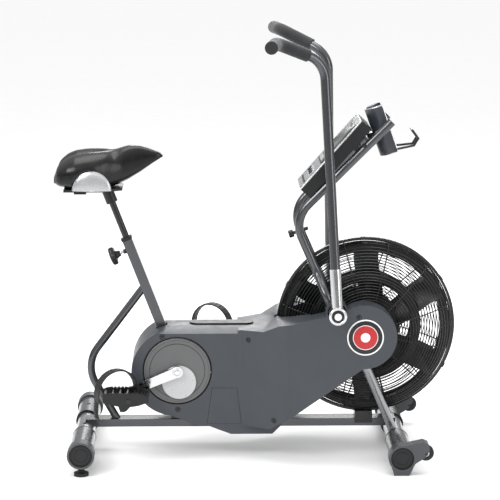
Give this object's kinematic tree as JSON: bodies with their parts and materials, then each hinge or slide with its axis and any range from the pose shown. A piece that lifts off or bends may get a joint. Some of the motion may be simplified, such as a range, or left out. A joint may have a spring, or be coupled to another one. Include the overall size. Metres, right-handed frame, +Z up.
{
  "type": "air bike",
  "caption": "Stationary air bike: caged fan turned by pedals, swinging handle arms, padded saddle on a sliding post, console on a twin-tube mast, and two cross feet.",
  "frame": {"origin": "on the floor, under the middle of the machine's bounding box", "axes": "+X forward (towards the fan), +Y to the rider's left, +Z up"},
  "size_m": [1.325, 0.653, 1.4162],
  "materials": {
    "shroud_plastic": "fine-textured moulded ABS, blue-grey",
    "dark_plastic": "moulded nylon, near black",
    "cap_plastic": "moulded end caps, dark grey",
    "frame_paint": "metallic gunmetal powder coat",
    "stabilizer_paint": "light metallic silver powder coat",
    "black_paint": "black powder coat on wire and steel",
    "polished_steel": "polished and plated",
    "plain_steel": "turned steel",
    "cover_plastic": "satin grey crank cover",
    "silver_plastic": "silver painted plastic",
    "badge_plastic": "plain round badge, red and dark rings",
    "fan_plastic": "moulded fan, black",
    "belt_rubber": "ribbed drive belt",
    "grip_foam": "fine-celled foam grip",
    "tyre_rubber": "moulded rubber",
    "seat_vinyl": "glossy black vinyl over foam"
  },
  "bodies": {
    "root": {"rear_stabilizer": "stabilizer_paint", "front_stabilizer": "stabilizer_paint", "rear_caps": "cap_plastic", "front_caps": "cap_plastic", "bolts": "black_paint", "bottom_rail": "frame_paint", "rear_strut": "frame_paint", "seat_tube": "frame_paint", "tube_bushing": "dark_plastic", "front_struts": "stabilizer_paint", "inner_frame": "frame_paint", "bearings": "plain_steel", "pivot_shafts": "plain_steel", "right_shroud": "shroud_plastic", "left_shroud": "shroud_plastic", "top_plate": "cover_plastic", "badges": "badge_plastic", "right_grille": "black_paint", "left_grille": "black_paint", "cage_rim": "black_paint", "belts": "belt_rubber", "pulley_bracket": "frame_paint", "mast_tubes": "frame_paint", "mast_brackets": "black_paint", "console_housing": "dark_plastic", "console_face": "silver_plastic", "bottle_holder": "dark_plastic"},
    "crankset": {"crank_axle": "plain_steel", "crank_pulley": "dark_plastic", "crank_arms": "polished_steel", "crank_covers": "cover_plastic", "eccentrics": "polished_steel"},
    "pedal_r": {"right_pedal": "dark_plastic", "right_strap": "dark_plastic"},
    "pedal_l": {"left_pedal": "dark_plastic", "left_strap": "dark_plastic"},
    "fan": {"fan_axle": "plain_steel", "fan_wheel": "fan_plastic", "fan_pulley": "plain_steel"},
    "second_shaft": {"mid_pulleys": "dark_plastic"},
    "handle_r": {"right_arm": "frame_paint", "right_grip": "grip_foam", "right_socket": "polished_steel"},
    "handle_l": {"left_arm": "frame_paint", "left_grip": "grip_foam", "left_socket": "polished_steel"},
    "link_r": {"right_link": "plain_steel"},
    "link_l": {"left_link": "plain_steel"},
    "seat": {"seat_post": "black_paint", "seat_cushion": "seat_vinyl", "seat_base": "dark_plastic", "seat_panels": "silver_plastic"},
    "seat_pin": {"seat_knob": "dark_plastic"},
    "wheel_r": {"right_wheel": "tyre_rubber"},
    "wheel_l": {"left_wheel": "tyre_rubber"},
    "button_l": {"left_button": "cap_plastic"},
    "button_m": {"middle_button": "cap_plastic"},
    "button_r": {"right_button": "cap_plastic"},
    "foot_r": {"right_leveller": "tyre_rubber"},
    "foot_l": {"left_leveller": "tyre_rubber"}
  },
  "joints": [
    {"name": "crank_spin", "type": "hinge", "parent": "root", "child": "crankset", "pos_m": [-0.263, 0, 0.298], "axis": [0, 1, 0], "continuous": true},
    {"name": "right_pedal_spin", "type": "hinge", "parent": "crankset", "child": "pedal_r", "pos_m": [-0.41983, 0, 0.2324], "axis": [0, 1, 0], "continuous": true},
    {"name": "left_pedal_spin", "type": "hinge", "parent": "crankset", "child": "pedal_l", "pos_m": [-0.10617, 0, 0.3636], "axis": [0, 1, 0], "continuous": true},
    {"name": "second_shaft_spin", "type": "hinge", "parent": "root", "child": "second_shaft", "pos_m": [0.1, 0, 0.25], "axis": [0, 1, 0], "continuous": true},
    {"name": "fan_spin", "type": "hinge", "parent": "root", "child": "fan", "pos_m": [0.365, 0, 0.43], "axis": [0, 1, 0], "continuous": true},
    {"name": "right_handle_swing", "type": "hinge", "parent": "root", "child": "handle_r", "pos_m": [0.259, 0, 0.512], "axis": [0, 1, 0], "range_deg": [-15.7, 21.8]},
    {"name": "left_handle_swing", "type": "hinge", "parent": "root", "child": "handle_l", "pos_m": [0.259, 0, 0.512], "axis": [0, 1, 0], "range_deg": [-21.8, 15.7]},
    {"name": "right_link_pivot", "type": "hinge", "parent": "handle_r", "child": "link_r", "pos_m": [0.255, 0, 0.392], "axis": [0, 1, 0], "range_deg": [-21.8, 15.7]},
    {"name": "left_link_pivot", "type": "hinge", "parent": "handle_l", "child": "link_l", "pos_m": [0.25123, 0, 0.39219], "axis": [0, 1, 0], "range_deg": [-15.7, 21.8]},
    {"name": "seat_height", "type": "slide", "parent": "root", "child": "seat", "axis": [-0.3567, 0, 0.9342], "range_m": [-0.12, 0.05]},
    {"name": "seat_pin_pull", "type": "slide", "parent": "root", "child": "seat_pin", "axis": [-0.9342, 0, -0.3567], "range_m": [0, 0.01], "stiffness_N_per_m": 700, "springref_m": -0.004},
    {"name": "right_wheel_spin", "type": "hinge", "parent": "root", "child": "wheel_r", "pos_m": [0.544, 0, 0.072], "axis": [0, 1, 0], "continuous": true},
    {"name": "left_wheel_spin", "type": "hinge", "parent": "root", "child": "wheel_l", "pos_m": [0.544, 0, 0.072], "axis": [0, 1, 0], "continuous": true},
    {"name": "left_button_press", "type": "slide", "parent": "root", "child": "button_l", "axis": [0.7501, 0, -0.6613], "range_m": [0, 0.0025], "stiffness_N_per_m": 500, "springref_m": -0.001},
    {"name": "middle_button_press", "type": "slide", "parent": "root", "child": "button_m", "axis": [0.7501, 0, -0.6613], "range_m": [0, 0.0025], "stiffness_N_per_m": 500, "springref_m": -0.001},
    {"name": "right_button_press", "type": "slide", "parent": "root", "child": "button_r", "axis": [0.7501, 0, -0.6613], "range_m": [0, 0.0025], "stiffness_N_per_m": 500, "springref_m": -0.001},
    {"name": "right_foot_turn", "type": "hinge", "parent": "root", "child": "foot_r", "pos_m": [-0.573, -0.296, 0.01], "axis": [0, 0, 1], "continuous": true},
    {"name": "left_foot_turn", "type": "hinge", "parent": "root", "child": "foot_l", "pos_m": [-0.573, 0.296, 0.01], "axis": [0, 0, 1], "continuous": true}
  ],
  "couplings": [
    {"joint": "second_shaft_spin", "follows": "crank_spin", "ratio": 4.0667},
    {"joint": "fan_spin", "follows": "crank_spin", "ratio": 9.76},
    {"joint": "left_handle_swing", "follows": "right_handle_swing", "ratio": -1},
    {"joint": "right_link_pivot", "follows": "right_handle_swing", "ratio": -1},
    {"joint": "left_link_pivot", "follows": "right_handle_swing", "ratio": 1}
  ]
}
